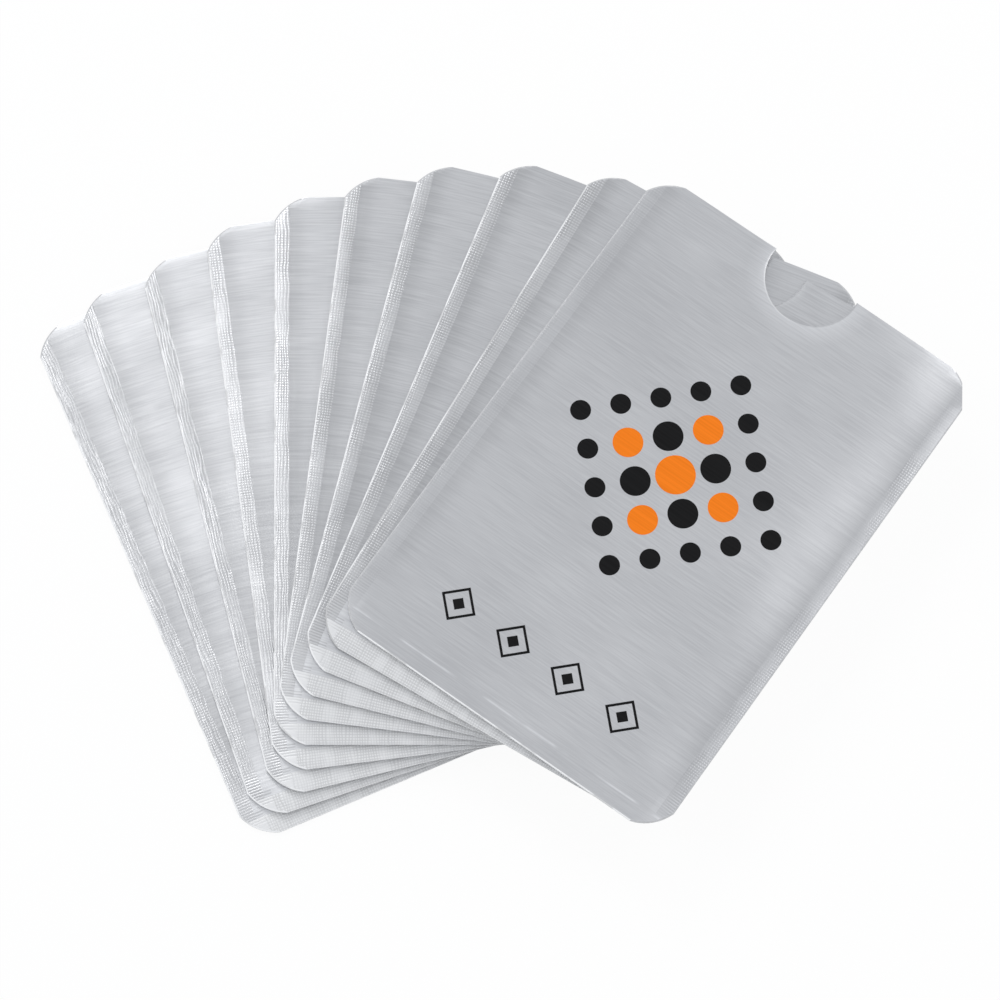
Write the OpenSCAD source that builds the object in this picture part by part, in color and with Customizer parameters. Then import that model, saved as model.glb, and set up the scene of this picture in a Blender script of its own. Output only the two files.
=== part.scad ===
// A fan of foil card sleeves.
// Each sleeve is two foil laminate panels joined by heat seals along both sides and across the closed end,
// which leaves a flat pocket with a mouth at the far end. A thumb notch goes through both panels at the
// mouth, and the four corners are trimmed by a punch. The sleeves lie on each other, and each is turned
// against the one below it about the point where a thumb pinches the fan.

/* [Card] */
// Width of the card that a sleeve holds
card_w = 54; // [50:0.5:65]
// Length of the card
card_l = 85.6; // [80:0.2:100]
// Thickness of the card
card_t = 0.76; // [0.5:0.02:1.2]
// Play between the card and each side seal
side_play = 2.1; // [0.5:0.1:5]
// Length of pocket left beyond the card at the mouth
mouth_cover = 3.4; // [0:0.1:6]
// Play over the card's thickness
flat_play = 0.06; // [0.02:0.01:0.5]

/* [Laminate and seals] */
// Thickness of one foil laminate panel
panel_t = 0.13; // [0.08:0.01:0.4]
// Width of the heat seal along each side
side_seal_w = 2.4; // [1.5:0.1:5]
// Width of the heat seal across the closed end
end_seal_w = 3.4; // [1.5:0.1:6]

/* [Corners] */
// Radius of the punch that trims the corners
corner_punch_r = 8; // [8:0.5:20]
// Reach of a corner's trim along the mouth or the closed end
corner_reach = 5; // [3:0.1:6]
// Reach of a mouth corner's trim along the side
mouth_corner_reach = 4; // [3:0.1:6]
// Reach of a closed corner's trim along the side
foot_corner_reach = 5; // [3:0.1:6]

/* [Thumb notch] */
// Radius of the thumb notch
notch_r = 8; // [5:0.5:12]
// Distance of the notch's centre inside the mouth
notch_inset = 0.9; // [0:0.1:3]
// Distance of the notch's centre to the left of the sleeve's middle
notch_offset = 0.5; // [-3:0.1:3]

/* [Fan] */
// Gap between one sleeve and the next
stack_gap = 0.02; // [0.01:0.01:0.5]
// Lean of the lowest sleeve to the left of upright, in degrees
lean = 23.4; // [0:0.1:45]
// Place of the pinch point across the lowest sleeve, from its left side
pinch_across = 43.4; // [20:0.1:50]
// Height of the pinch point above the lowest sleeve's closed end
pinch_up = 3.9; // [1:0.1:15]

/* [Second sleeve from below] */
// Clockwise turn against the sleeve below, in degrees
turn_02 = 4.2; // [0:0.1:12]
// Shift to the right against the sleeve below, at the pinch point
shift_02 = 2.4; // [-5:0.1:5]
// Drop against the sleeve below, at the pinch point
drop_02 = 0.4; // [-3:0.1:3]

/* [Third sleeve] */
// Clockwise turn against the sleeve below, in degrees
turn_03 = 5; // [0:0.1:12]
// Shift to the right against the sleeve below, at the pinch point
shift_03 = 3.9; // [-5:0.1:5]
// Drop against the sleeve below, at the pinch point
drop_03 = 0.7; // [-3:0.1:3]

/* [Fourth sleeve] */
// Clockwise turn against the sleeve below, in degrees
turn_04 = 6.5; // [0:0.1:12]
// Shift to the right against the sleeve below, at the pinch point
shift_04 = 1.6; // [-5:0.1:5]
// Drop against the sleeve below, at the pinch point
drop_04 = 0.3; // [-3:0.1:3]

/* [Fifth sleeve] */
// Clockwise turn against the sleeve below, in degrees
turn_05 = 7.4; // [0:0.1:12]
// Shift to the right against the sleeve below, at the pinch point
shift_05 = 0.7; // [-5:0.1:5]
// Drop against the sleeve below, at the pinch point
drop_05 = 0.1; // [-3:0.1:3]

/* [Sixth sleeve] */
// Clockwise turn against the sleeve below, in degrees
turn_06 = 7.3; // [0:0.1:12]
// Shift to the right against the sleeve below, at the pinch point
shift_06 = 0.7; // [-5:0.1:5]
// Drop against the sleeve below, at the pinch point
drop_06 = -0.1; // [-3:0.1:3]

/* [Seventh sleeve] */
// Clockwise turn against the sleeve below, in degrees
turn_07 = 7.1; // [0:0.1:12]
// Shift to the right against the sleeve below, at the pinch point
shift_07 = 0.9; // [-5:0.1:5]
// Drop against the sleeve below, at the pinch point
drop_07 = -0.2; // [-3:0.1:3]

/* [Eighth sleeve] */
// Clockwise turn against the sleeve below, in degrees
turn_08 = 7.8; // [0:0.1:12]
// Shift to the right against the sleeve below, at the pinch point
shift_08 = 1.3; // [-5:0.1:5]
// Drop against the sleeve below, at the pinch point
drop_08 = -0.4; // [-3:0.1:3]

/* [Ninth sleeve] */
// Clockwise turn against the sleeve below, in degrees
turn_09 = 8.7; // [0:0.1:12]
// Shift to the right against the sleeve below, at the pinch point
shift_09 = 0.9; // [-5:0.1:5]
// Drop against the sleeve below, at the pinch point
drop_09 = -0.1; // [-3:0.1:3]

/* [Top sleeve] */
// Clockwise turn against the sleeve below, in degrees
turn_10 = 4.9; // [0:0.1:12]
// Shift to the right against the sleeve below, at the pinch point
shift_10 = 1.6; // [-5:0.1:5]
// Drop against the sleeve below, at the pinch point
drop_10 = -1.6; // [-3:0.1:3]

/* [Hidden] */
// Sizes of one sleeve, which follow from its card
sleeve_w = card_w + 2 * (side_play + side_seal_w);
sleeve_h = end_seal_w + card_l + mouth_cover;
pocket_t = card_t + flat_play;
sleeve_t = pocket_t + 2 * panel_t;
layer_pitch = sleeve_t + stack_gap;

// Length by which a cutting shape passes what it cuts
cut_over = 1;
// Facets of a full circle
round_facets = 128;
// Steps along a corner's arc where the outline's reach is measured
arc_steps = 12;

// The fan, from the lowest sleeve to the top one
turns = [turn_02, turn_03, turn_04, turn_05, turn_06, turn_07, turn_08, turn_09, turn_10];
shifts = [shift_02, shift_03, shift_04, shift_05, shift_06, shift_07, shift_08, shift_09, shift_10];
drops = [drop_02, drop_03, drop_04, drop_05, drop_06, drop_07, drop_08, drop_09, drop_10];
sleeve_count = len(turns) + 1;

// Sum of a list's first n entries
function first_sum(list, n) = n <= 0 ? 0 : list[n - 1] + first_sum(list, n - 1);
// Angle of sleeve k from upright, anticlockwise, and the pinch point in that sleeve's own axes
function sleeve_angle(k) = lean - first_sum(turns, k - 1);
function pinch_in_sleeve(k) =
    [pinch_across - first_sum(shifts, k - 1), pinch_up + first_sum(drops, k - 1)];
function turned(p, angle) =
    [p[0] * cos(angle) - p[1] * sin(angle), p[0] * sin(angle) + p[1] * cos(angle)];

// Centre of the corner punch, from a corner, where the trim reaches rx along the end and ry along the side
function punch_centre(rx, ry) =
    let (chord = norm([rx, ry]), back = sqrt(pow(corner_punch_r, 2) - pow(chord / 2, 2)))
    [rx / 2 + back * ry / chord, ry / 2 + back * rx / chord];
// Points along that trim
function trim_points(rx, ry) =
    let (c = punch_centre(rx, ry), a0 = atan2(ry - c[1], -c[0]), a1 = atan2(-c[1], rx - c[0]))
    let (sweep = a1 > a0 ? a1 - a0 : a1 - a0 + 360)
    [for (i = [0:arc_steps]) c + corner_punch_r * [cos(a0 + sweep * i / arc_steps), sin(a0 + sweep * i / arc_steps)]];
// Points of a sleeve's outline that can be its furthest in any direction
function reach_points() = concat(
    [for (p = trim_points(corner_reach, foot_corner_reach)) p],
    [for (p = trim_points(corner_reach, foot_corner_reach)) [sleeve_w - p[0], p[1]]],
    [for (p = trim_points(corner_reach, mouth_corner_reach)) [p[0], sleeve_h - p[1]]],
    [for (p = trim_points(corner_reach, mouth_corner_reach)) [sleeve_w - p[0], sleeve_h - p[1]]]);
fan_points = [for (k = [1:sleeve_count]) for (p = reach_points()) turned(p - pinch_in_sleeve(k), sleeve_angle(k))];
fan_x = [for (p = fan_points) p[0]];
fan_y = [for (p = fan_points) p[1]];
// The pinch point, measured from the middle of the whole fan's base
pinch_place = -[(min(fan_x) + max(fan_x)) / 2, (min(fan_y) + max(fan_y)) / 2];

// Names of the nodes
PIECES = ["back_panel", "left_seal", "right_seal", "end_seal", "front_panel"];
function piece_name(k, piece) = str("sleeve_", k < 10 ? "0" : "", k, "_", piece);

// What the corner punch takes off at a corner that lies at the origin
module corner_trim(rx, ry) {
    difference() {
        translate([-cut_over, -cut_over]) square([rx + 2 * cut_over, ry + 2 * cut_over]);
        translate(punch_centre(rx, ry)) circle(corner_punch_r, $fn = round_facets);
    }
}

// Outline of a sleeve without its notch, from its closed left corner
module trimmed_outline() {
    difference() {
        square([sleeve_w, sleeve_h]);
        corner_trim(corner_reach, foot_corner_reach);
        translate([sleeve_w, 0]) mirror([1, 0]) corner_trim(corner_reach, foot_corner_reach);
        translate([0, sleeve_h]) mirror([0, 1]) corner_trim(corner_reach, mouth_corner_reach);
        translate([sleeve_w, sleeve_h]) rotate(180) corner_trim(corner_reach, mouth_corner_reach);
    }
}

// Outline of a panel, with the thumb notch
module panel_outline() {
    difference() {
        trimmed_outline();
        translate([sleeve_w / 2 - notch_offset, sleeve_h - notch_inset]) circle(notch_r, $fn = round_facets);
    }
}

// Puts a sleeve's piece at its place in the fan
module in_fan(k) {
    translate([pinch_place[0], pinch_place[1], (k - 1) * layer_pitch])
        rotate(sleeve_angle(k))
            translate(-pinch_in_sleeve(k))
                children();
}

// Panel that lies underneath, with its foil side down
module back_panel(k) {
    color("#b9bbc0")
        in_fan(k) linear_extrude(panel_t) panel_outline();
}

// Panel on top, with its foil side up
module front_panel(k) {
    color("#cfd0d4")
        in_fan(k) translate([0, 0, panel_t + pocket_t]) linear_extrude(panel_t) panel_outline();
}

// A seal between the two panels, given the part of the outline that it fills
module seal(k, corner, size) {
    color("#dcdde0")
        in_fan(k) translate([0, 0, panel_t]) linear_extrude(pocket_t)
            intersection() {
                trimmed_outline();
                translate(corner) square(size);
            }
}

module left_seal(k) {
    seal(k, [0, 0], [side_seal_w, sleeve_h]);
}

module right_seal(k) {
    seal(k, [sleeve_w - side_seal_w, 0], [side_seal_w, sleeve_h]);
}

module end_seal(k) {
    seal(k, [side_seal_w, 0], [sleeve_w - 2 * side_seal_w, end_seal_w]);
}

for (k = [1:sleeve_count]) {
    back_panel(k);
    left_seal(k);
    right_seal(k);
    end_seal(k);
    front_panel(k);
}
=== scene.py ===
"""A fan of ten foil card sleeves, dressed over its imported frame.

A sleeve is modelled once, flat, in millimetres, with its closed left corner at the origin, x across it and y towards
its mouth. Each copy is then pressed into its own shape, turned into its place in the fan and scaled to metres.
"""

import logging
import math
from dataclasses import dataclass, field
from enum import Enum
from functools import cached_property, reduce

import bpy
import numpy as np
from mathutils import Matrix, Vector


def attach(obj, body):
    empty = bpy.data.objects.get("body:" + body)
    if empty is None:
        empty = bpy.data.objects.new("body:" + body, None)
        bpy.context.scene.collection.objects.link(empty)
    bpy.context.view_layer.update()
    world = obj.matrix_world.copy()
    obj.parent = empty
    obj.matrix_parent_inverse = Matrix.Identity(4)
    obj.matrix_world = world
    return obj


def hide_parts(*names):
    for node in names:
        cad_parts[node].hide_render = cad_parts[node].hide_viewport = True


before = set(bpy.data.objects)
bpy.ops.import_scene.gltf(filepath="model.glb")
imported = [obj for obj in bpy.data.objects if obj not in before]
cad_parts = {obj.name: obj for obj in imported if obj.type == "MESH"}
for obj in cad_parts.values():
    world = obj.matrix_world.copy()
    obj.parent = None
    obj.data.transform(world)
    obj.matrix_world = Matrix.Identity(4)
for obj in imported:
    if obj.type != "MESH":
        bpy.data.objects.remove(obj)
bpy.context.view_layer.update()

LOG = logging.getLogger("card_sleeves")
MM = 0.001
UV_MAP = "sleeve"
# Millimetres of a sleeve per unit of its map
MAP_MM = 100.0
# Faces that meet at less than this angle are shaded as one surface
SMOOTH_ANGLE = math.radians(35)
# Most of a noise lies between these values
NOISE_SPAN = (0.3, 0.7)

Pair = tuple[float, float]
Triple = tuple[float, float, float]
Socket = bpy.types.NodeSocket
Piece = bpy.types.Object
Material = bpy.types.Material
Array = np.ndarray


class Layer(Enum):
    """The two panels of a sleeve, by the names of their nodes."""

    FRONT = "front_panel"
    BACK = "back_panel"


class Seal(Enum):
    """The three heat seals of a sleeve, by the names of their nodes."""

    LEFT = "left_seal"
    RIGHT = "right_seal"
    END = "end_seal"


class Ink(Enum):
    """The two inks of the print."""

    BLACK = "black"
    ORANGE = "orange"


class Patch(Enum):
    """The places of a panel that have a finish of their own, by material index."""

    FIELD = 0
    NEAR_SEAM = 1
    FAR_SEAM = 2
    END_SEAM = 3
    # Rims of the cut edge: a pale copy with a painted highlight and a darker copy with painted shade
    RIM = 4
    DULL_RIM = 5


@dataclass(frozen=True)
class Grain:
    """Noise on a sleeve: its repeats per millimetre across and along, finer layers and turn in degrees."""

    scale: Pair
    detail: float = 2.0
    turn: float = 0.0


@dataclass(frozen=True)
class SleeveSize:
    """Sizes of one sleeve in millimetres, as in the part's source, and the heights that the pressing gives it."""

    width: float = 63.0
    height: float = 92.4
    panel: float = 0.13
    side_seal: float = 2.4
    end_seal: float = 3.4
    punch_radius: float = 8.0
    # Reach of a corner's trim along the end and along the side
    foot_trim: Pair = (5.0, 5.0)
    mouth_trim: Pair = (5.0, 4.0)
    notch_radius: float = 8.0
    notch_x: float = 31.0
    notch_y: float = 91.5
    arc_steps: int = 10
    notch_steps: int = 48
    # Level of the seams in the sleeve's layer of the pile, their fused film, and a panel's rise over the pocket
    middle: float = 0.54
    film: float = 0.04
    rise: float = 0.27
    wave: float = 0.085
    # Width of the rim along the cut edge, and how far it droops
    rim: float = 0.22
    curl: float = 0.04
    # Sag of a limp and of a crisp sleeve's left side, and of the closed end
    side_sag: float = 0.11
    crisp_sag: float = 0.035
    end_sag: float = 0.33
    # Heading in degrees from the notch's centre to the most raised part of its edge
    lip_heading: float = 222.0
    # Plane of the extra trim at the top sleeve's right mouth corner
    nip_place: Triple = (62.8, 87.7, 0.0)
    nip_outward: Triple = (0.836, 0.549, 0.0)

    def punch_centre(self, trim: Pair) -> Vector:
        """Finds where the corner punch stood, measured inwards from a corner.

        Args:
            trim: the trim's reach.

        Returns:
            The centre of the punch's arc.
        """
        end, side = trim
        chord = math.hypot(end, side)
        back = math.sqrt(self.punch_radius**2 - chord**2 / 4)
        return Vector((end / 2 + back * side / chord, side / 2 + back * end / chord))

    def corner_arc(self, trim: Pair) -> list[Vector]:
        """Gives the points of a trimmed corner, from the side to the end.

        Args:
            trim: the trim's reach.

        Returns:
            Points measured inwards from the corner.
        """
        centre = self.punch_centre(trim)
        start = math.atan2(trim[1] - centre.y, -centre.x)
        stop = math.atan2(-centre.y, trim[0] - centre.x)
        sweep = (stop - start) % math.tau
        turns = [start + sweep * i / self.arc_steps for i in range(self.arc_steps + 1)]
        return [centre + self.punch_radius * Vector((math.cos(t), math.sin(t))) for t in turns]

    def outline(self, notched: bool) -> list[Vector]:
        """Gives the outline of a panel, anticlockwise from its closed left corner.

        Args:
            notched: whether the thumb notch is cut into the mouth.

        Returns:
            The corners of the outline.
        """
        foot, mouth = self.corner_arc(self.foot_trim), self.corner_arc(self.mouth_trim)
        points = list(foot)
        points += [Vector((self.width - p.x, p.y)) for p in reversed(foot)]
        points += [Vector((self.width - p.x, self.height - p.y)) for p in mouth]
        if notched:
            half = math.acos((self.height - self.notch_y) / self.notch_radius)
            for i in range(self.notch_steps + 1):
                turn = math.pi / 2 - half - (math.tau - 2 * half) * i / self.notch_steps
                reach = self.notch_radius * Vector((math.cos(turn), math.sin(turn)))
                points.append(Vector((self.notch_x, self.notch_y)) + reach)
        points += [Vector((p.x, self.height - p.y)) for p in reversed(mouth)]
        return points

    def to_edge(self, x: Array, y: Array, mouth: bool = True) -> Array:
        """Measures how far points lie inside the cut edge, the notch left out.

        Args:
            x: distances across the sleeve.
            y: distances along it.
            mouth: whether the mouth and its corners count as edge.

        Returns:
            The shortest distance of each point to the edge.
        """
        edges = [x, self.width - x, y]
        corners = [(self.foot_trim, y)]
        if mouth:
            edges.append(self.height - y)
            corners.append((self.mouth_trim, self.height - y))
        near = np.minimum.reduce(edges)
        across = np.minimum(x, self.width - x)
        for trim, along in corners:
            centre = self.punch_centre(trim)
            arc = self.punch_radius - np.hypot(across - centre.x, along - centre.y)
            near = np.where((across < centre.x) & (along < centre.y), np.minimum(near, arc), near)
        return near


@dataclass(frozen=True)
class FanLayout:
    """Place of each sleeve in the fan, as in the part's source, in millimetres and degrees."""

    lean: float = 23.4
    pinch: Pair = (43.4, 3.9)
    place: Pair = (-1.8149, -36.0757)
    pitch: float = 1.1
    turns: tuple[float, ...] = (4.2, 5.0, 6.5, 7.4, 7.3, 7.1, 7.8, 8.7, 4.9)
    shifts: tuple[float, ...] = (2.4, 3.9, 1.6, 0.7, 0.7, 0.9, 1.3, 0.9, 1.6)
    drops: tuple[float, ...] = (0.4, 0.7, 0.3, 0.1, -0.1, -0.2, -0.4, -0.1, -1.6)
    # Last sleeve with ridges in its left seam, last limp one, with a waffle there, and the one whose edge has a
    # dimmer, patchier painted highlight
    last_ridged: int = 3
    last_limp: int = 5
    patchy: int = 9

    @property
    def count(self) -> int:
        """Number of sleeves."""
        return len(self.turns) + 1

    def matrix(self, number: int) -> Matrix:
        """Gives the move from a flat sleeve in millimetres to its place in the frame in metres.

        Args:
            number: the sleeve's number, 1 for the lowest.

        Returns:
            The move as a 4 by 4 matrix.
        """
        angle = self.lean - sum(self.turns[: number - 1])
        across = self.pinch[0] - sum(self.shifts[: number - 1])
        along = self.pinch[1] + sum(self.drops[: number - 1])
        move = Matrix.Translation((self.place[0], self.place[1], (number - 1) * self.pitch))
        turn = Matrix.Rotation(math.radians(angle), 4, "Z")
        return Matrix.Scale(MM, 4) @ move @ turn @ Matrix.Translation((-across, -along, 0.0))


@dataclass(frozen=True)
class Pressing:
    """Shape that the pocket's spring, the seams and the pile give a sleeve's panels at places x, y, in millimetres."""

    size: SleeveSize
    layout: FanLayout
    number: int
    x: Array
    y: Array
    # Shoulder beside a seam: widths of its sharp and soft part, the sharp one's share, the top sleeve's loss of that
    # towards the right, and its width
    fold: float = 1.2
    slope: float = 9.0
    fold_share: float = 0.12
    fold_loss: float = 0.1
    loss_width: float = 20.0
    # Share of its rise that a panel loses at the mouth, and its width
    mouth_loss: float = 0.12
    mouth_band: float = 9.0
    # Waves: lengths and shares, most turn in degrees, width over which they grow from a seam, first seed
    lengths: tuple[Pair, ...] = ((46.0, 0.42), (27.0, 0.33), (15.0, 0.25))
    most_turn: float = 28.0
    wave_band: float = 4.0
    seed: int = 40
    # Heights and widths round the notch: burr of the cut, the top sleeve's lip, and the bulge beyond it
    plain_burr: float = 0.05
    burr: float = 0.02
    burr_width: float = 0.3
    lip: float = 0.24
    lip_width: float = 1.5
    bulge: float = 0.05
    bulge_width: float = 7.5
    bulge_sides: float = 14.0
    # Widths of the sags along the closed end and the left side, and where and how fast they fade
    end_band: float = 3.2
    end_start: float = 3.0
    end_fade: float = 7.0
    side_band: float = 2.2
    side_fade: float = 10.0

    @property
    def top(self) -> bool:
        """Whether this is the top sleeve."""
        return self.number == self.layout.count

    def rise(self) -> Array:
        """Gives how far the panel over or under the pocket stands off its seams.

        Returns:
            The height of each point over the seam's level.
        """
        s, x, y = self.size, self.x, self.y
        inside = np.minimum.reduce([x - s.side_seal, s.width - s.side_seal - x, y - s.end_seal])
        crisp = self.fold_share - self.fold_loss * smooth((x - s.width / 2) / self.loss_width) * self.top
        shoulder = crisp * smooth(inside / self.fold) + (1.0 - crisp) * smooth(inside / self.slope)
        loss = 0.0 if self.top else self.mouth_loss
        mouth = 1.0 - loss * smooth((y - s.height + self.mouth_band) / self.mouth_band)
        return shoulder * (mouth * s.rise + s.wave * self.waves() * smooth(inside / self.wave_band))

    def waves(self) -> Array:
        """Sums the soft waves that handling leaves in the foil, different on every sleeve.

        Returns:
            The sum at each point, from -1 to 1.
        """
        draw = np.random.default_rng(self.seed + self.number)
        total = np.zeros_like(self.x)
        for length, share in self.lengths:
            heading = math.radians(90.0 + draw.uniform(-self.most_turn, self.most_turn))
            along = self.x * math.cos(heading) + self.y * math.sin(heading)
            total += share * np.sin(math.tau * along / length + draw.uniform(0.0, math.tau))
        return total

    def gape(self) -> Array:
        """Gives how far the front panel lifts round its thumb notch, on the top sleeve most of all.

        Returns:
            The lift of each point.
        """
        s, x = self.size, self.x
        off_x, off_y = x - s.notch_x, self.y - s.notch_y
        off = np.maximum(np.hypot(off_x, off_y) - s.notch_radius, 0.0)
        if not self.top:
            return self.plain_burr * np.exp(-off / self.burr_width)
        toward = np.cos(np.arctan2(off_y, off_x) - math.radians(s.lip_heading))
        edge = self.lip * np.exp(-off / self.lip_width) + self.burr * np.exp(-off / self.burr_width)
        bulge = self.bulge * np.exp(-((off / self.bulge_width) ** 2))
        bulge = bulge * smooth((s.width - x) / self.bulge_sides) * smooth(x / self.bulge_sides)
        return bulge + (0.5 + 0.5 * toward) * edge

    def height(self, layer: Layer) -> Array:
        """Gives the height of a panel's lower side.

        Args:
            layer: which of the two panels.

        Returns:
            The height over the sleeve's lowest level at each point.
        """
        s, x, y = self.size, self.x, self.y
        closed = s.to_edge(x, y, mouth=False)
        end = s.end_sag * (1.0 - smooth(closed / self.end_band)) * (1.0 - smooth((y - self.end_start) / self.end_fade))
        drop = s.side_sag if self.number <= self.layout.last_limp else s.crisp_sag
        side = drop * (1.0 - smooth(closed / self.side_band)) * smooth((s.width / 2 - x) / self.side_fade)
        rim = np.maximum(side, end) + s.curl * (1.0 - smooth(s.to_edge(x, y) / s.rim))
        if layer is Layer.FRONT:
            return s.middle + s.film / 2 + self.rise() + self.gape() - rim
        return s.middle - s.film / 2 - s.panel - self.rise() - rim


def smooth(t: Array) -> Array:
    """Eases from 0 at t = 0 to 1 at t = 1."""
    t = np.clip(t, 0.0, 1.0)
    return t * t * (3.0 - 2.0 * t)


def spaced(low: float, high: float, step: float) -> list[float]:
    """Spaces places evenly, about a step apart, between two others that are both left out."""
    count = max(round((high - low) / step), 1)
    return [low + (high - low) * i / count for i in range(1, count)]


@dataclass(frozen=True)
class Finish:
    """A material and the nodes that are put into it."""

    name: str

    @cached_property
    def material(self) -> Material:
        """The material, made with its one shader when it is first needed."""
        material = bpy.data.materials.new(self.name)
        material.use_nodes = True
        return material

    @property
    def shader(self) -> bpy.types.Node:
        """The material's Principled shader."""
        return self.material.node_tree.nodes["Principled BSDF"]

    def add(self, kind: str, **settings: object) -> bpy.types.Node:
        """Adds a node.

        Args:
            kind: the node's type without its prefix.
            **settings: the properties to set on it.

        Returns:
            The node.
        """
        node = self.material.node_tree.nodes.new("ShaderNode" + kind)
        for key, value in settings.items():
            setattr(node, key, value)
        return node

    def feed(self, target: Socket, value: object) -> None:
        """Gives a socket its value.

        Args:
            target: the socket.
            value: another socket to link it to, or a plain value.
        """
        if isinstance(value, Socket):
            self.material.node_tree.links.new(value, target)
        else:
            target.default_value = value

    def finish(self, inputs: dict[str, object]) -> Material:
        """Feeds the shader.

        Args:
            inputs: sockets or plain values by the names of the shader's inputs.

        Returns:
            The finished material.
        """
        for key, value in inputs.items():
            self.feed(self.shader.inputs[key], value)
        return self.material

    def calc(self, operation: str, first: object, second: object = 0.0) -> Socket:
        """Adds one step of arithmetic.

        Args:
            operation: its name.
            first: a socket or a number.
            second: the same, where the operation takes two.

        Returns:
            The result.
        """
        node = self.add("Math", operation=operation)
        self.feed(node.inputs[0], first)
        self.feed(node.inputs[1], second)
        return node.outputs[0]

    def times(self, *factors: object) -> Socket:
        """Multiplies sockets or numbers, from the first one on."""
        return reduce(lambda product, factor: self.calc("MULTIPLY", product, factor), factors)

    def rest(self, share: object) -> Socket:
        """Gives what a share leaves of 1."""
        return self.calc("SUBTRACT", 1.0, share)

    def spread(self, value: object, span: Pair, low: object = 0.0, high: object = 1.0, kind: str = "LINEAR") -> Socket:
        """Maps a value from one range to another, held at the ends.

        Args:
            value: the value.
            span: its lowest and highest.
            low: the result at its lowest.
            high: the result at its highest.
            kind: how it goes between.

        Returns:
            The result.
        """
        node = self.add("MapRange", interpolation_type=kind)
        for place, number in enumerate((value, *span, low, high)):
            self.feed(node.inputs[place], number)
        return node.outputs[0]

    def noise(self, grain: Grain) -> Socket:
        """Adds noise on the sleeve's own coordinates.

        Args:
            grain: its kind.

        Returns:
            The noise's value.
        """
        place = self.add("UVMap", uv_map=UV_MAP)
        mapping = self.add("Mapping")
        mapping.inputs["Rotation"].default_value[2] = math.radians(grain.turn)
        mapping.inputs["Scale"].default_value = (grain.scale[0] * MAP_MM, grain.scale[1] * MAP_MM, 1.0)
        noise = self.add("TexNoise", noise_dimensions="2D")
        noise.inputs["Scale"].default_value = 1.0
        noise.inputs["Detail"].default_value = grain.detail
        self.feed(mapping.inputs["Vector"], place.outputs[0])
        self.feed(noise.inputs["Vector"], mapping.outputs[0])
        return noise.outputs["Fac"]

    def blend(self, share: object, first: object, second: object, kind: str = "MIX") -> Socket:
        """Mixes two colours.

        Args:
            share: the share of the second.
            first: the first, a socket or a colour without alpha.
            second: the second, the same.
            kind: how they are mixed.

        Returns:
            The mixed colour.
        """
        node = self.add("Mix", data_type="RGBA", blend_type=kind)
        self.feed(node.inputs["Factor"], share)
        for key, colour in (("A", first), ("B", second)):
            self.feed(node.inputs[key], (*colour, 1.0) if isinstance(colour, tuple) else colour)
        return node.outputs["Result"]

    def bump(self, height: Socket, depth: float, below: Socket | None = None) -> Socket:
        """Adds a bump.

        Args:
            height: its height, from 0 to 1.
            depth: its depth in metres.
            below: the normal of another bump that it lies on.

        Returns:
            Its normal.
        """
        node = self.add("Bump")
        node.inputs["Strength"].default_value = 1.0
        node.inputs["Distance"].default_value = depth
        self.feed(node.inputs["Height"], height)
        if below is not None:
            self.feed(node.inputs["Normal"], below)
        return node.outputs[0]


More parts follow.
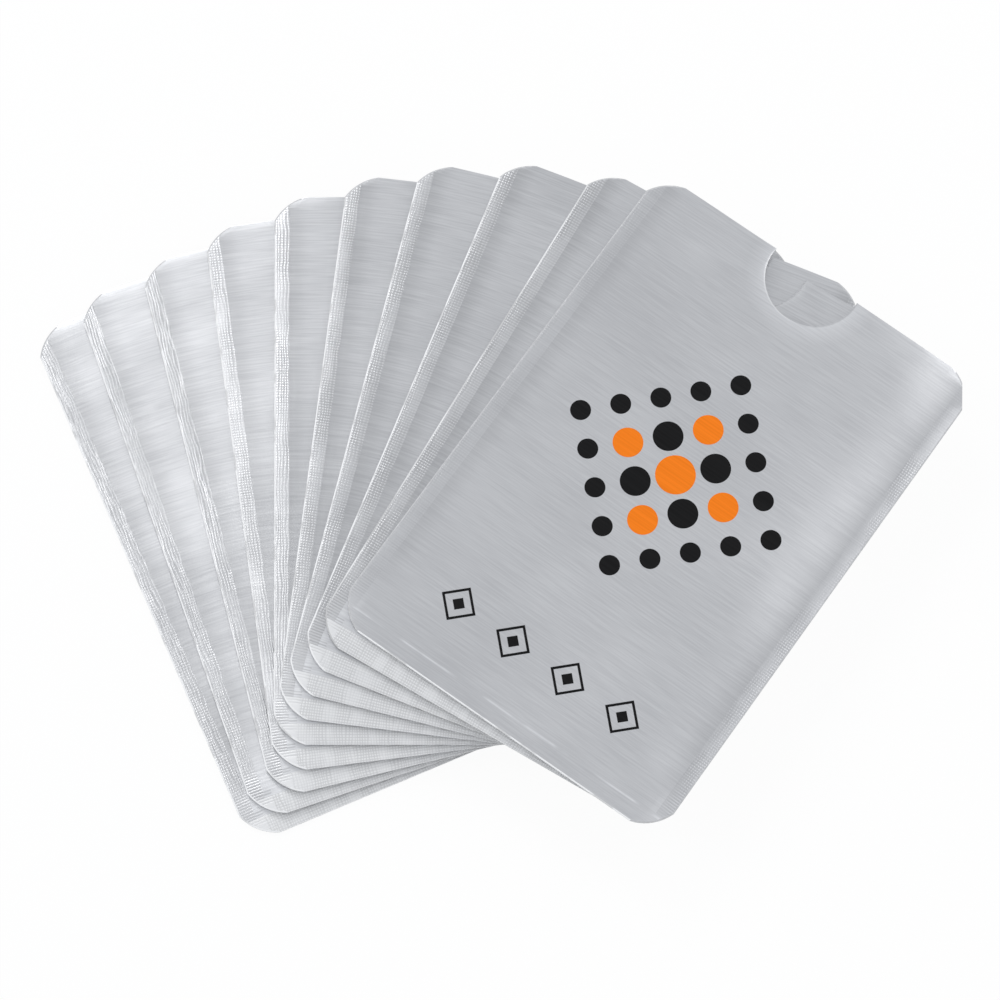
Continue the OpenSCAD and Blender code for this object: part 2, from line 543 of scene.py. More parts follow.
@dataclass(frozen=True)
class BrushedFoil(Finish):
    """Satin foil laminate, brushed across the sleeve, with or without the knurl that the sealing jaws press in."""

    dark: Triple = (0.7, 0.704, 0.722)
    light: Triple = (0.775, 0.78, 0.797)
    roughness: float = 0.35
    metal: float = 0.88
    # Change of the roughness over the hairlines, and strength and turn of the brushing's shine
    rough_span: Pair = (-0.05, 0.06)
    brushing: Pair = (0.8, 0.25)
    # Depths in metres of the knurl, the soft swell and the scratches
    knurl: float = 0.0
    swell: float = 0.00035
    scratch: float = 0.000008
    # Knurl: pitch in millimetres, painted shade in its grooves, heights between which that shade changes, depth of its
    # bars at the mouth and at the foot, and of its ridges, least wear, drift in millimetres, and the ridges' loss at
    # the pads
    pitch: float = 0.45
    groove_shade: float = 0.8
    trough: float = 0.1
    crest: float = 0.9
    bars: Pair = (0.12, 0.7)
    ridges: float = 1.0
    wear: float = 0.35
    drift: float = 0.9
    loss: float = 0.85
    # Brightness of a panel, all painted light and shade: painted shade beside the seams, painted light at the foot, a
    # painted highlight on the crease, painted shade at the notch's edge and a painted highlight on its lip, and a
    # painted highlight round it
    seam_band_shade: float = 0.83
    foot: float = 1.0
    crease_highlight: float = 1.0
    notch_edge_shade: float = 0.8
    lip: float = 0.8
    ring_highlight: float = 1.0
    # Depth of the painted shade of the corner's dashes, and the height in their wave where that shade starts
    dash_shade: float = 0.0
    dash_level: float = 0.75
    # Share of the streaks in the tone, and the spans of it, of the rubs and of the breaks from dark to light
    streak_share: float = 0.62
    tones: Pair = (0.34, 0.66)
    rub_span: Pair = (0.35, 0.6)
    break_span: Pair = (0.4, 0.6)
    streaks: Grain = Grain((0.13, 3.6), 3.0)
    hairlines: Grain = Grain((0.25, 8.0), 1.0, 0.6)
    clouds: Grain = Grain((0.03, 0.045), 2.0, 20.0)
    swells: Grain = Grain((0.045, 0.075), 1.0, 12.0)
    drifts: Grain = Grain((0.5, 0.16))
    rubs: Grain = Grain((0.3, 0.1))
    breaks: Grain = Grain((0.14, 0.1))
    # Places in millimetres. Along a side seam: its start, the pads above that, and the bars, deep to faint
    side_start: Pair = (3.4, 3.5)
    pads: Pair = (7.0, 9.0)
    fading: Pair = (26.0, 60.0)
    # End seam's near corner: its dashes across, and the bare part below them, then the dashes in the panel over it
    corner: Pair = (3.5, 3.7)
    bare: Pair = (2.2, 2.4)
    dashes_across: Pair = (3.6, 3.8)
    dashes_along: Pair = (4.3, 4.6)
    # Band of painted shade inwards from a side seam, where it sets in along it, the span of the foot's painted light,
    # the crease with its painted highlight and its half width
    shade_band: Pair = (-0.4, 3.6)
    shade_band_start: Pair = (6.0, 16.0)
    foot_light_span: Pair = (3.4, 15.0)
    crease_at: float = 3.55
    crease_edge: Pair = (0.05, 0.25)
    # From the notch's centre: its cut edge, where its painted shade and highlight lie, the ring of painted highlight
    # round it, and the cosine of the heading against the lip's
    cut_edge: Pair = (8.05, 8.28)
    ring: Pair = (8.0, 11.4)
    lip_span: Pair = (0.1, 0.8)
    size: SleeveSize = SleeveSize()

    @cached_property
    def local(self) -> list[Socket]:
        """A point's place on its own sleeve, in millimetres across and along it."""
        place = self.add("UVMap", uv_map=UV_MAP)
        axes = self.add("SeparateXYZ")
        self.feed(axes.inputs[0], place.outputs[0])
        return [self.times(self.calc("FRACT", axes.outputs[i]), MAP_MM) for i in range(2)]

    def build(self) -> Material:
        """Joins the foil's tone, shade, grain and relief.

        Returns:
            The finished material.
        """
        streaks = self.noise(self.streaks)
        clouds = self.times(self.noise(self.clouds), 1.0 - self.streak_share)
        tone = self.calc("ADD", self.times(streaks, self.streak_share), clouds)
        foil = self.blend(self.spread(tone, self.tones), self.dark, self.light)
        normal = self.bump(self.noise(self.swells), self.swell)
        normal = self.bump(streaks, self.scratch, normal)
        if self.knurl:
            relief = self.waffle()
            # Painted shade in the knurl's grooves
            shade = self.spread(relief, (self.trough, self.crest), self.groove_shade)
            normal = self.bump(relief, self.knurl, normal)
        else:
            shade = self.field_shade()
        smoothest, roughest = (self.roughness + d for d in self.rough_span)
        return self.finish({
            "Base Color": self.blend(1.0, foil, shade, "MULTIPLY"),
            "Roughness": self.spread(self.noise(self.hairlines), NOISE_SPAN, smoothest, roughest),
            "Metallic": self.metal,
            "Anisotropic": self.brushing[0],
            "Anisotropic Rotation": self.brushing[1],
            "Tangent": self.add("Tangent", direction_type="UV_MAP", uv_map=UV_MAP).outputs[0],
            "Normal": normal,
        })

    def field_shade(self) -> Socket:
        """Finds how much the foil's brightness changes over a panel.

        It is darker inside the side seams, painted shade where the panel rises from the seam. It can be paler towards
        the closed end, painted light there, with a painted highlight on a fine crease along the end seam, and it has
        painted shade and painted highlight round the notch.

        Returns:
            The share of its brightness that the foil keeps.
        """
        across, along = self.local
        side = self.calc("MINIMUM", across, self.calc("SUBTRACT", self.size.width, across))
        inside = self.calc("SUBTRACT", side, self.size.side_seal)
        deepest_shade = self.spread(along, self.shade_band_start, 1.0, self.seam_band_shade)
        off_crease = self.calc("ABSOLUTE", self.calc("SUBTRACT", along, self.crease_at))
        broken_highlight = self.spread(self.noise(self.breaks), self.break_span, 1.0, self.crease_highlight)
        # Painted shade in the band beside the side seams, then painted shade and highlight round the notch
        shares = [self.spread(inside, self.shade_band, deepest_shade, 1.0, "SMOOTHSTEP"), *self.notch_shades()]
        # Painted light towards the closed end, and a painted highlight on the crease
        shares += [self.spread(along, self.foot_light_span, self.foot), self.spread(off_crease, self.crease_edge, broken_highlight)]
        # Painted shade of the pressed dashes in the near corner
        if self.dash_shade:
            shares.append(self.dash_row())
        return self.times(*shares)

    def notch_shades(self) -> list[Socket]:
        """Finds how much the brightness changes round the notch.

        Returns:
            The shares that the foil keeps at the cut edge, painted shade that turns into a painted highlight towards
            the lip, and in the ring round it, a painted highlight.
        """
        s = self.size
        heading = math.radians(s.lip_heading)
        off = [self.calc("SUBTRACT", a, b) for a, b in zip(self.local, (s.notch_x, s.notch_y), strict=True)]
        reach = self.calc("SQRT", self.calc("ADD", *[self.times(d, d) for d in off]))
        toward = self.calc("ADD", self.times(off[0], math.cos(heading)), self.times(off[1], math.sin(heading)))
        # Painted shade along the notch's cut edge, turning into a painted highlight on the raised lip's side
        lip = self.spread(self.calc("DIVIDE", toward, reach), self.lip_span, self.notch_edge_shade, self.lip)
        # The ring round the notch gets a painted highlight
        return [self.spread(reach, self.cut_edge, lip), self.spread(reach, self.ring, self.ring_highlight)]

    def dash_row(self) -> Socket:
        """Adds the upper part of the short row of dashes that the jaws' end leaves where two seams meet.

        Returns:
            The share of its brightness that the foil keeps.
        """
        across, along = self.local
        wide = self.spread(across, self.dashes_across, 1.0, 0.0)
        inside = self.times(wide, self.spread(along, self.dashes_along, 1.0, 0.0))
        depth = self.times(self.calc("SUBTRACT", self.dash_level, self.wave(along)), self.dash_shade)
        return self.rest(self.times(inside, depth))

    def wave(self, place: Socket) -> Socket:
        """Adds an even wave of ridges along one direction, from 0 to 1."""
        turned = self.calc("COSINE", self.times(place, math.tau / self.pitch))
        return self.times(self.calc("ADD", turned, 1.0), 0.5)

    def fainter(self, wave: Socket, share: object) -> Socket:
        """Keeps only a share of a wave's depth, measured down from its crests."""
        return self.rest(self.times(self.rest(wave), share))

    def waffle(self) -> Socket:
        """Adds the height of the sealing jaws' knurl.

        Ridges run along the side seams and break up into pads towards the closed end, where only short bars across
        the seam are left. The closed end has pads, with a few dashes in its near corner. The whole is worn in places.

        Returns:
            The height, from 0 to 1.
        """
        across, along = self.local
        on_side = self.spread(along, self.side_start)
        on_end = self.rest(on_side)
        less = self.times(self.spread(along, self.pads, 1.0, 0.0), on_side, self.loss)
        corner = self.times(self.spread(across, self.corner, 1.0, 0.0), on_end)
        ridges = self.wave(self.calc("ADD", across, self.times(self.noise(self.drifts), self.drift)))
        for share in (self.rest(less), self.ridges, self.rest(corner)):
            ridges = self.fainter(ridges, share)
        faint, deep = self.bars
        depth = self.calc("MAXIMUM", self.spread(along, self.fading, deep, faint), on_end)
        bars = self.fainter(self.wave(along), self.calc("MAXIMUM", depth, less))
        bare = self.times(corner, self.spread(along, self.bare, 1.0, 0.0))
        bars = self.fainter(bars, self.rest(bare))
        patchy = self.spread(self.noise(self.rubs), self.rub_span, self.wear)
        return self.fainter(self.times(ridges, bars), patchy)


@dataclass(frozen=True)
class PaleFilm(Finish):
    """White liner film, as it shows at a cut edge and between the panels."""

    colour: Triple = (0.84, 0.845, 0.855)
    # Brightness of the darker places, their grain, and the span over which it goes from dark to light
    patchy: float = 0.9
    grain: Grain = Grain((1.3, 1.3))
    edges: Pair = NOISE_SPAN
    roughness: float = 0.38

    def build(self) -> Material:
        """Builds the film's nodes.

        Returns:
            The finished material.
        """
        share = self.spread(self.noise(self.grain), self.edges)
        dark = tuple(c * self.patchy for c in self.colour)
        return self.finish({"Base Color": self.blend(share, dark, self.colour), "Roughness": self.roughness})


@dataclass(frozen=True)
class PrintInk(Finish):
    """Screen ink with a low sheen, thin enough for the brushing to show a little in it."""

    colour: Triple
    roughness: float = 0.45
    sheen: float = 0.15
    scratch: float = 0.000006
    streaks: Grain = Grain((0.05, 3.4))
    # Factor and offset that make the colour paler in the streaks
    paler: Pair = (1.12, 0.003)

    def build(self) -> Material:
        """Builds the ink's nodes.

        Returns:
            The finished material.
        """
        streaks = self.noise(self.streaks)
        pale = tuple(min(c * self.paler[0] + self.paler[1], 1.0) for c in self.colour)
        return self.finish({
            "Base Color": self.blend(self.spread(streaks, NOISE_SPAN), self.colour, pale),
            "Roughness": self.roughness,
            "Specular IOR Level": self.sheen,
            "Normal": self.bump(streaks, self.scratch),
        })


def only(piece: Piece) -> None:
    """Selects one piece alone and makes it active.

    Args:
        piece: the piece.
    """
    bpy.ops.object.select_all(action="DESELECT")
    piece.select_set(True)
    bpy.context.view_layer.objects.active = piece


def blank(name: str, points: list[Vector]) -> Piece:
    """Lays out a flat blank with a given outline in millimetres.

    Args:
        name: the new object's name.
        points: corners of the outline, anticlockwise.

    Returns:
        The blank, with one face.
    """
    bpy.ops.object.select_all(action="DESELECT")
    bpy.ops.mesh.primitive_circle_add(vertices=len(points), radius=1.0, fill_type="NGON")
    piece = bpy.context.object
    piece.name = piece.data.name = name
    for vertex, point in zip(piece.data.vertices, points, strict=True):
        vertex.co = (point.x, point.y, 0.0)
    return piece


def open_mesh() -> None:
    """Opens the active piece's mesh for modelling, with all of it selected."""
    bpy.ops.object.mode_set(mode="EDIT")
    bpy.ops.mesh.select_all(action="SELECT")


def score(piece: Piece, rim: float, across: list[float], along: list[float]) -> None:
    """Marks a rim round a blank and lines across and along it.

    Args:
        piece: the flat blank.
        rim: width of the rim inside the outline.
        across: places of the lines that run along the sleeve.
        along: places of the lines that run across it.
    """
    only(piece)
    open_mesh()
    bpy.ops.mesh.inset(thickness=rim, use_even_offset=True)
    for places, normal in ((across, Vector((1, 0, 0))), (along, Vector((0, 1, 0)))):
        for place in places:
            bpy.ops.mesh.select_all(action="SELECT")
            bpy.ops.mesh.bisect(plane_co=normal * place, plane_no=normal)
    bpy.ops.mesh.select_all(action="SELECT")
    bpy.ops.mesh.normals_make_consistent(inside=False)
    bpy.ops.object.mode_set(mode="OBJECT")
    if piece.data.polygons[0].normal.z < 0:
        piece.data.flip_normals()


def thicken(piece: Piece, thickness: float) -> None:
    """Gives a flat blank its thickness, upwards.

    Args:
        piece: the flat blank.
        thickness: its thickness.
    """
    only(piece)
    wall = piece.modifiers.new("thickness", "SOLIDIFY")
    wall.thickness = thickness
    wall.offset = 1.0
    bpy.ops.object.modifier_apply(modifier=wall.name)


def cut_off(piece: Piece, place: Triple, outward: Triple) -> None:
    """Cuts a piece off along a plane and closes the cut.

    Args:
        piece: the piece to cut.
        place: a point of the plane.
        outward: the direction of what is taken off.
    """
    only(piece)
    open_mesh()
    bpy.ops.mesh.bisect(plane_co=place, plane_no=outward, use_fill=True, clear_outer=True)
    bpy.ops.object.mode_set(mode="OBJECT")


def twin(master: Piece, name: str) -> Piece:
    """Copies a piece with a mesh of its own.

    Args:
        master: the piece to copy.
        name: the copy's name.

    Returns:
        The copy.
    """
    piece = master.copy()
    piece.data = master.data.copy()
    piece.name = piece.data.name = name
    bpy.context.scene.collection.objects.link(piece)
    return piece


@dataclass(frozen=True)
class PrintDesign:
    """The print on a front panel: a lozenge of round dots over a row of small square frames, in millimetres."""

    centre: Pair = (31.5, 51.0)
    spacing: float = 6.6
    dot_radii: tuple[float, ...] = (3.3, 2.5, 1.7)
    dot_corners: int = 36
    row_height: float = 13.0
    row_places: tuple[float, ...] = (15.6, 26.2, 36.8, 47.4)
    frame_radius: float = 3.3
    frame_line: float = 0.42
    core_radius: float = 1.2
    # Width of the ring inside a filled mark, as a share of its radius
    ring_share: float = 0.4
    thickness: float = 0.02

    def mark(self, place: Pair, radius: float, corners: int, line: float = 0.0) -> Piece:
        """Makes one flat mark of ink, open or filled. A ring and a fan inside let a filled one follow the foil.

        Args:
            place: its centre on the sleeve.
            radius: its radius to the corners.
            corners: number of its corners, 4 for a square.
            line: width of an open mark's line, or nothing for a filled one.

        Returns:
            The mark.
        """
        bpy.ops.object.select_all(action="DESELECT")
        bpy.ops.mesh.primitive_circle_add(vertices=corners, radius=radius, fill_type="NGON", location=(*place, 0.0))
        piece = bpy.context.object
        bpy.ops.object.transform_apply(location=True, rotation=True, scale=True)
        open_mesh()
        bpy.ops.mesh.inset(thickness=line or radius * self.ring_share)
        if line:
            bpy.ops.mesh.delete(type="FACE")
        else:
            bpy.ops.mesh.poke()
        bpy.ops.object.mode_set(mode="OBJECT")
        return piece

    def joined(self, name: str, marks: list[Piece]) -> Piece:
        """Joins marks of one ink into one piece with a thickness.

        Args:
            name: the piece's name.
            marks: the flat marks.

        Returns:
            The piece.
        """
        bpy.ops.object.select_all(action="DESELECT")
        for mark in marks:
            mark.select_set(True)
        bpy.context.view_layer.objects.active = marks[0]
        bpy.ops.object.join()
        piece = bpy.context.object
        piece.name = piece.data.name = name
        if piece.data.polygons[0].normal.z < 0:
            piece.data.flip_normals()
        thicken(piece, self.thickness)
        return piece

    def masters(self) -> dict[str, Piece]:
        """Builds the print's two inks as flat pieces.

        Returns:
            The black and the orange piece by name.
        """
        marks: dict[Ink, list[Piece]] = {ink: [] for ink in Ink}
        last = len(self.dot_radii) - 1
        for i in range(-last, last + 1):
            for j in range(-last, last + 1):
                ring = max(abs(i), abs(j))
                bold = ring == 0 or (ring == 1 and i * j != 0)
                across = self.centre[0] + (i - j) * self.spacing / math.sqrt(2)
                along = self.centre[1] + (i + j) * self.spacing / math.sqrt(2)
                dot = self.mark((across, along), self.dot_radii[ring], self.dot_corners)
                marks[Ink.ORANGE if bold else Ink.BLACK].append(dot)
        for across in self.row_places:
            place = (across, self.row_height)
            marks[Ink.BLACK].append(self.mark(place, self.frame_radius, 4, self.frame_line))
            marks[Ink.BLACK].append(self.mark(place, self.core_radius, 4))
        return {f"{ink.value}_print": self.joined(f"{ink.value}_print", marks[ink]) for ink in Ink}


@dataclass
class SleeveShop:
    """Models the pieces of one flat sleeve, and makes each sleeve of the fan from copies of them."""

    size: SleeveSize
    layout: FanLayout
    design: PrintDesign
    # Lines beside a seam, step of the net over the pocket and of the lines across a film, in millimetres
    shoulder: tuple[float, ...] = (0.0, 0.4, 0.8, 1.2)
    net: float = 1.9
    film_step: float = 4.0
    # Shift of a sleeve's map against that of the one below, so that no two sleeves are alike
    map_shift: Pair = (3.0, 2.0)
    # Share of the rim's width in which a face counts as rim, and how level an upright face can be
    rim_share: float = 0.9
    upright: float = 0.5
    masters: dict[str, Piece] = field(default_factory=dict)
    finishes: dict[str, Material] = field(default_factory=dict)

    def panel(self) -> Piece:
        """Models a panel: its outline with the notch, a rim, the seam lines and a net over the pocket.

        Returns:
            The flat panel.
        """
        s = self.size
        piece = blank("panel", s.outline(True))
        sides = [s.side_seal + d for d in self.shoulder]
        across = sides + [s.width - d for d in sides] + spaced(sides[-1], s.width - sides[-1], self.net)
        foot = [s.end_seal + d for d in self.shoulder]
        score(piece, s.rim, across, foot + spaced(foot[-1], s.height, self.net))
        thicken(piece, s.panel)
        return piece

    def film(self, seal: Seal) -> Piece:
        """Models the fused film of one seal, cut from a blank of the whole sleeve.

        Args:
            seal: which of the three seals.

        Returns:
            The flat film.
        """
        s = self.size
        piece = blank(seal.value, s.outline(False))
        score(piece, s.rim, [], spaced(0.0, s.height, self.film_step))
        thicken(piece, s.film)
        left, right = s.side_seal, s.width - s.side_seal
        cuts = {Seal.LEFT: [(left, 1)], Seal.RIGHT: [(right, -1)], Seal.END: [(left, -1), (right, 1)]}
        for across, outward in cuts[seal]:
            cut_off(piece, (across, 0, 0), (outward, 0, 0))
        if seal is Seal.END:
            cut_off(piece, (0, s.end_seal, 0), (0, 1, 0))
        return piece

    def model(self) -> None:
        """Models every piece of a flat sleeve once."""
        self.masters["panel"] = self.panel()
        for seal in Seal:
            self.masters[seal.value] = self.film(seal)
        self.masters.update(self.design.masters())
        LOG.info("modelled %s", ", ".join(self.masters))

    def mix_finishes(self) -> None:
        """Builds the finishes of the sleeves."""
        looks = {
            # Front panels: paler towards the closed end as painted light, with painted shade beside the seams
            "field": BrushedFoil(
                "brushed_foil", (0.665, 0.67, 0.687), (0.805, 0.81, 0.826), foot=1.24, dash_shade=0.3, swell=0.00036
            ),
            "ridged_seam": BrushedFoil(
                "ridged_foil", (0.79, 0.794, 0.81), (0.88, 0.883, 0.895), knurl=0.00005, groove_shade=0.76, bars=(0.1, 0.5),
                wear=0.6,
            ),
            "waffled_seam": BrushedFoil(
                "waffled_foil", (0.79, 0.794, 0.81), (0.88, 0.883, 0.895), knurl=0.000036, bars=(0.7, 0.4),
                ridges=0.8, crest=0.8, wear=0.45,
            ),
            "barred_seam": BrushedFoil(
                "barred_foil", (0.74, 0.744, 0.76), (0.82, 0.823, 0.835), knurl=0.000024, groove_shade=0.76, bars=(1.0, 1.0),
                ridges=0.7, crest=0.7, wear=0.6,
            ),
            # End seams: near-white foil, painted light against the shade that the sleeves above cast on them
            "end_seam": BrushedFoil(
                "padded_foil_lit", (0.93, 0.934, 0.945), (0.98, 0.982, 0.985), metal=0.5, knurl=0.000026, groove_shade=0.82,
                crest=0.5, wear=0.7,
            ),
            "back_field": BrushedFoil("brushed_foil_back", (0.68, 0.684, 0.7), (0.755, 0.76, 0.775), roughness=0.38),
            # Cut edges: pale tone partly the film's own and partly a painted highlight on the left-hand rims, dimmer
            # and patchier on one sleeve, and a dark copy as painted shade on the rest
            "rim": PaleFilm("cut_edge", (0.95, 0.953, 0.96), 0.74, Grain((0.2, 0.2)), (0.4, 0.5), 0.5),
            "worn_rim": PaleFilm("cut_edge_patchy_lit", (0.88, 0.883, 0.89), 0.66, Grain((0.06, 0.06)), (0.42, 0.58), 0.5),
            "dull_rim": PaleFilm("cut_edge_shaded", (0.62, 0.624, 0.635), 0.85),
            # Top front panel: lighter painted shade beside the seams, and painted highlights on the crease, on the
            # notch's lip and in the ring round the notch
            "top_field": BrushedFoil(
                "brushed_foil_top", (0.68, 0.684, 0.702), (0.785, 0.79, 0.806), seam_band_shade=0.9, swell=0.0017,
                swells=Grain((0.02, 0.033), 1.0, 12.0), crease_highlight=1.25, crease_at=2.9, lip=1.25, ring_highlight=1.16,
            ),
            "faint_seam": BrushedFoil("faint_knurl", knurl=0.000016, groove_shade=0.9, bars=(1.0, 1.0), ridges=0.6),
            "far_seam": BrushedFoil(
                "faint_knurl_far", (0.64, 0.645, 0.662), (0.705, 0.71, 0.725), knurl=0.000016, groove_shade=0.88,
                bars=(1.0, 1.0), ridges=0.6, crest=0.6,
            ),
            "film": PaleFilm("liner_film"),
            "black": PrintInk("black_ink", (0.003, 0.003, 0.0035)),
            "orange": PrintInk("orange_ink", (0.9, 0.205, 0.006)),
        }
        self.finishes = {key: look.build() for key, look in looks.items()}

    def press(self, piece: Piece, number: int, layer: Layer, lift: float) -> None:
        """Writes a flat piece's own map, presses it and puts it in its place in the fan.

        Args:
            piece: the flat piece.
            number: the sleeve's number.
            layer: the panel whose lower side it follows.
            lift: how far over that side it lies.
        """
        mesh = piece.data
        points = np.empty(len(mesh.vertices) * 3, np.float32)
        mesh.vertices.foreach_get("co", points)
        points = points.reshape(-1, 3)
        flat = points.astype(float)
        while mesh.uv_layers:
            mesh.uv_layers.remove(mesh.uv_layers[0])
        corners = np.empty(len(mesh.loops), np.int32)
        mesh.loops.foreach_get("vertex_index", corners)
        on_map = flat[corners, :2] * (1.0 / MAP_MM) + np.array(self.map_shift) * number
        mesh.uv_layers.new(name=UV_MAP).data.foreach_set("uv", on_map.astype(np.float32).ravel())
        pressing = Pressing(self.size, self.layout, number, flat[:, 0], flat[:, 1])
        points[:, 2] = flat[:, 2] + pressing.height(layer) + lift
        mesh.vertices.foreach_set("co", points.ravel())
        mesh.transform(self.layout.matrix(number))
        mesh.update()

    def dress_panel(self, piece: Piece, layer: Layer, number: int) -> None:
        """Gives each patch of a panel its finish, before the panel is pressed.

        Args:
            piece: the flat panel.
            layer: which of the two panels.
            number: the sleeve's number.
        """
        ridged, waffled = number <= self.layout.last_ridged, number <= self.layout.last_limp
        keys = {
            Patch.FIELD: "field" if layer is Layer.FRONT else "back_field",
            Patch.NEAR_SEAM: "ridged_seam" if ridged else "waffled_seam" if waffled else "barred_seam",
            Patch.FAR_SEAM: "far_seam",
            Patch.END_SEAM: "end_seam",
            Patch.RIM: "worn_rim" if number == self.layout.patchy else "rim",
            Patch.DULL_RIM: "dull_rim",
        }
        if number == self.layout.count and layer is Layer.FRONT:
            keys |= {Patch.FIELD: "top_field", Patch.NEAR_SEAM: "faint_seam", Patch.END_SEAM: "top_field"}
        self.dress(piece, [keys[patch] for patch in Patch])
        for face in piece.data.polygons:
            face.material_index = self.patch_at(face, number == self.layout.count).value

    def patch_at(self, face: bpy.types.MeshPolygon, top: bool) -> Patch:
        """Tells which patch of a flat panel a face belongs to.

        Args:
            face: the face.
            top: whether the panel is one of the top sleeve's.

        Returns:
            The patch.
        """
        s = self.size
        x, y = face.center.x, face.center.y
        edge = float(s.to_edge(np.array([x]), np.array([y]))[0])
        on_end = y < s.rim and s.foot_trim[0] < x < s.width - s.foot_trim[0] and not top
        on_rim = edge < s.rim * self.rim_share and y < s.height - s.rim and not on_end
        if on_rim or abs(face.normal.z) < self.upright:
            # Rims on the lit side get the painted highlight, the others painted shade
            lit = y < s.rim if top else y < s.height - s.mouth_trim[1] and x < s.width / 2
            return Patch.RIM if lit else Patch.DULL_RIM
        if y < s.end_seal:
            return Patch.END_SEAM
        if x < s.side_seal:
            return Patch.NEAR_SEAM
        return Patch.FAR_SEAM if x > s.width - s.side_seal else Patch.FIELD

    def dress(self, piece: Piece, keys: list[str]) -> None:
        """Gives a piece its finishes.

        Args:
            piece: the piece.
            keys: the finishes' keys, in the order of its material slots.
        """
        piece.data.materials.clear()
        for key in keys:
            piece.data.materials.append(self.finishes[key])

    def make_sleeve(self, number: int) -> None:
        """Makes one sleeve of the fan, piece by piece.

        Args:
            number: the sleeve's number, 1 for the lowest.
        """
        s = self.size
        body = f"sleeve_{number:02d}"
        top = number == self.layout.count
        for layer, slot in ((Layer.FRONT, "foil_face"), (Layer.BACK, "foil_back")):
            piece = twin(self.masters["panel"], f"{body}_foil_{layer.name.lower()}")
            if top:
                cut_off(piece, s.nip_place, s.nip_outward)
            self.dress_panel(piece, layer, number)
            self.press(piece, number, layer, 0.0)
            self.hand_over(piece, body, f"{body}_{layer.value}")
        for seal in Seal:
            piece = twin(self.masters[seal.value], f"{body}_film_{seal.name.lower()}")
            if top and seal is Seal.RIGHT:
                cut_off(piece, s.nip_place, s.nip_outward)
            self.dress(piece, ["film"])
            self.press(piece, number, Layer.BACK, s.panel)
            self.hand_over(piece, body, f"{body}_{seal.value}")
        for ink in Ink:
            piece = twin(self.masters[f"{ink.value}_print"], f"{body}_print_{ink.value}")
            self.dress(piece, [ink.value])
            self.press(piece, number, Layer.FRONT, s.panel)
            self.hand_over(piece, body, "")

    def hand_over(self, piece: Piece, body: str, node: str) -> None:
        """Shades a piece, ties it to its sleeve and reports it.

        Args:
            piece: the finished piece.
            body: the sleeve that it rides on.
            node: the solid that it stands for, or nothing.
        """
        only(piece)
        bpy.ops.object.shade_smooth_by_angle(angle=SMOOTH_ANGLE)
        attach(piece, body)
        if node:
            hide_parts(node)
        LOG.info("%s rides on %s with %d faces", piece.name, body, len(piece.data.polygons))

    def make_fan(self) -> None:
        """Makes all the sleeves and clears the flat masters away."""
        self.model()
        self.mix_finishes()
        for number in range(1, self.layout.count + 1):
            self.make_sleeve(number)
        for piece in self.masters.values():
            bpy.data.objects.remove(piece)


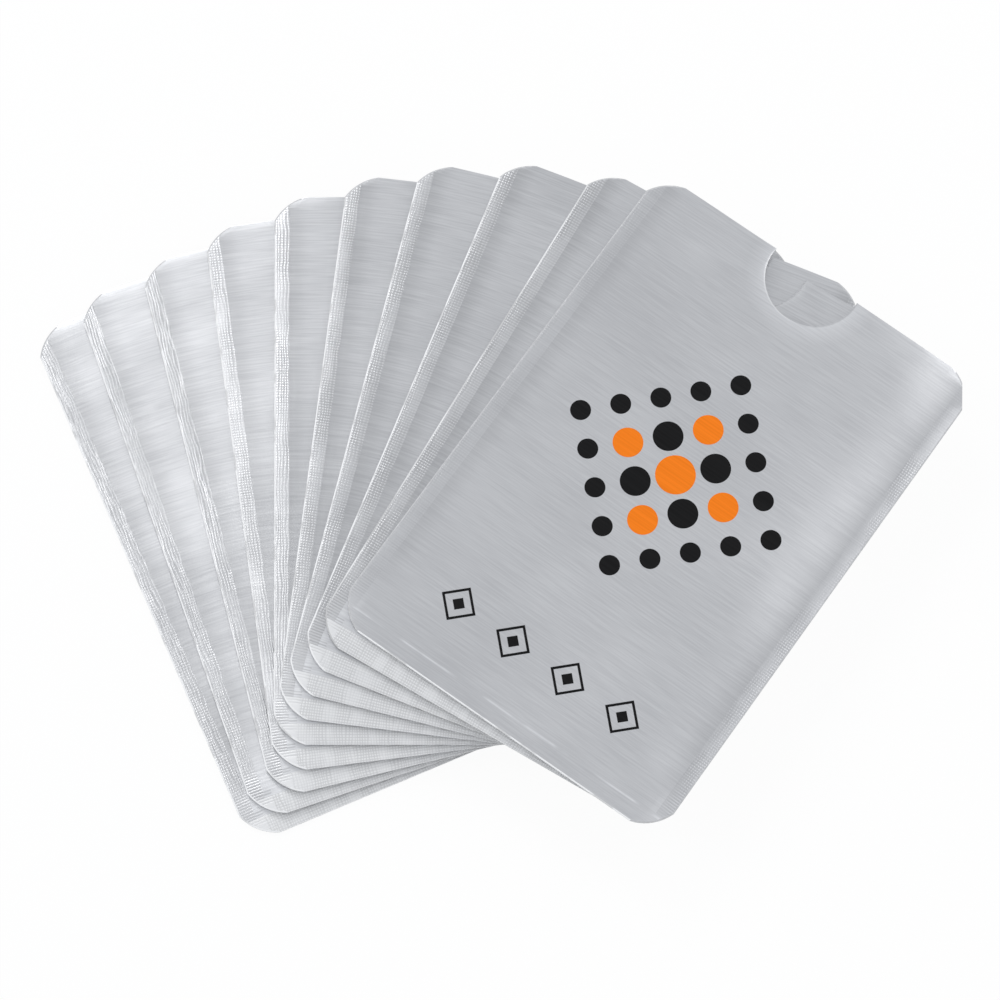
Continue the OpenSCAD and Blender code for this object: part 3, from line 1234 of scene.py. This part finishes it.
@dataclass(frozen=True)
class Studio:
    """Camera, lamps and floor, in metres, degrees and watts, with the lens and its sensor in millimetres."""

    target: Triple = (-0.000095, 0.000574, 0.0)
    distance: float = 0.8143
    elevation: float = 73.43
    azimuth: float = 8.05
    roll: float = 8.05
    lens: float = 180.0
    sensor: float = 36.0
    clip: Pair = (0.01, 20.0)
    sky: tuple[float, ...] = (0.95, 0.97, 1.0, 1.0)
    sky_strength: float = 0.62
    # Square lamps that face the middle of the fan: names, places and powers, and their side
    lamps: tuple[tuple[str, Triple, float], ...] = (
        ("back_left_softbox", (-0.38, 0.9, 0.76), 3.8),
        ("left_softbox", (-0.95, 0.2, 0.75), 2.25),
        ("right_softbox", (0.79, 0.54, 0.955), 2.7),
    )
    lamp_side: float = 0.5
    # Floor: its side, its depth under the fan, its tone and roughness, and the share of its light that is even
    floor_side: float = 6.0
    floor_gap: float = 0.0002
    floor_tone: float = 0.97
    floor_roughness: float = 0.9
    floor_glow: float = 0.94

    def place_camera(self) -> None:
        """Sets the camera up at the photograph's angle."""
        turn, rise, roll = (math.radians(a) for a in (self.azimuth, self.elevation, self.roll))
        away = Vector((-math.sin(turn) * math.cos(rise), -math.cos(turn) * math.cos(rise), math.sin(rise)))
        level = (-away).cross(Vector((0, 0, 1))).normalized()
        over = level.cross(-away)
        right = math.cos(roll) * level + math.sin(roll) * over
        up = -math.sin(roll) * level + math.cos(roll) * over
        axes = Matrix((right, up, away)).transposed()
        data = bpy.data.cameras.new("camera")
        data.lens, data.sensor_width, data.sensor_fit = self.lens, self.sensor, "HORIZONTAL"
        data.clip_start, data.clip_end = self.clip
        camera = bpy.data.objects.new("camera", data)
        camera.matrix_world = Matrix.Translation(Vector(self.target) + away * self.distance) @ axes.to_4x4()
        bpy.context.scene.collection.objects.link(camera)
        bpy.context.scene.camera = camera

    def light(self) -> None:
        """Lights the fan with soft lamps and an even pale world."""
        world = bpy.data.worlds.new("world")
        bpy.context.scene.world = world
        world.use_nodes = True
        sky = world.node_tree.nodes["Background"]
        sky.inputs["Color"].default_value = self.sky
        sky.inputs["Strength"].default_value = self.sky_strength
        for name, place, power in self.lamps:
            data = bpy.data.lights.new(name, "AREA")
            data.shape, data.size, data.size_y = "RECTANGLE", self.lamp_side, self.lamp_side
            data.energy = power
            lamp = bpy.data.objects.new(name, data)
            lamp.location = place
            lamp.rotation_euler = (-Vector(place)).to_track_quat("-Z", "Y").to_euler()
            bpy.context.scene.collection.objects.link(lamp)

    def lay_floor(self) -> None:
        """Lays a white floor under the fan that keeps its soft shadow."""
        bpy.ops.object.select_all(action="DESELECT")
        bpy.ops.mesh.primitive_grid_add(x_subdivisions=4, y_subdivisions=4, size=self.floor_side)
        floor = bpy.context.object
        floor.name = floor.data.name = "floor"
        floor.data.transform(Matrix.Translation((0, 0, -self.floor_gap)))
        white = Finish("floor_white")
        tone, roughness = (*[self.floor_tone] * 3, 1.0), self.floor_roughness
        white.finish({"Base Color": tone, "Roughness": roughness, "Specular IOR Level": 0.0})
        rays = white.add("LightPath").outputs
        seen = white.calc("MAXIMUM", rays["Is Camera Ray"], rays["Is Glossy Ray"])
        seen = white.calc("MAXIMUM", seen, rays["Is Transmission Ray"])
        shaders = white.shader.outputs[0], white.add("Emission").outputs[0]
        mix = white.add("MixShader")
        for place, value in enumerate((white.times(seen, self.floor_glow), *shaders)):
            white.feed(mix.inputs[place], value)
        white.feed(white.material.node_tree.nodes["Material Output"].inputs["Surface"], mix.outputs[0])
        floor.data.materials.append(white.material)


def main() -> None:
    """Builds the studio and the fan."""
    logging.basicConfig(level=logging.INFO, format="%(message)s")
    bpy.context.scene.view_settings.view_transform = "Standard"
    studio = Studio()
    studio.place_camera()
    studio.light()
    studio.lay_floor()
    shop = SleeveShop(SleeveSize(), FanLayout(), PrintDesign())
    shop.make_fan()


if __name__ == "__main__":
    main()
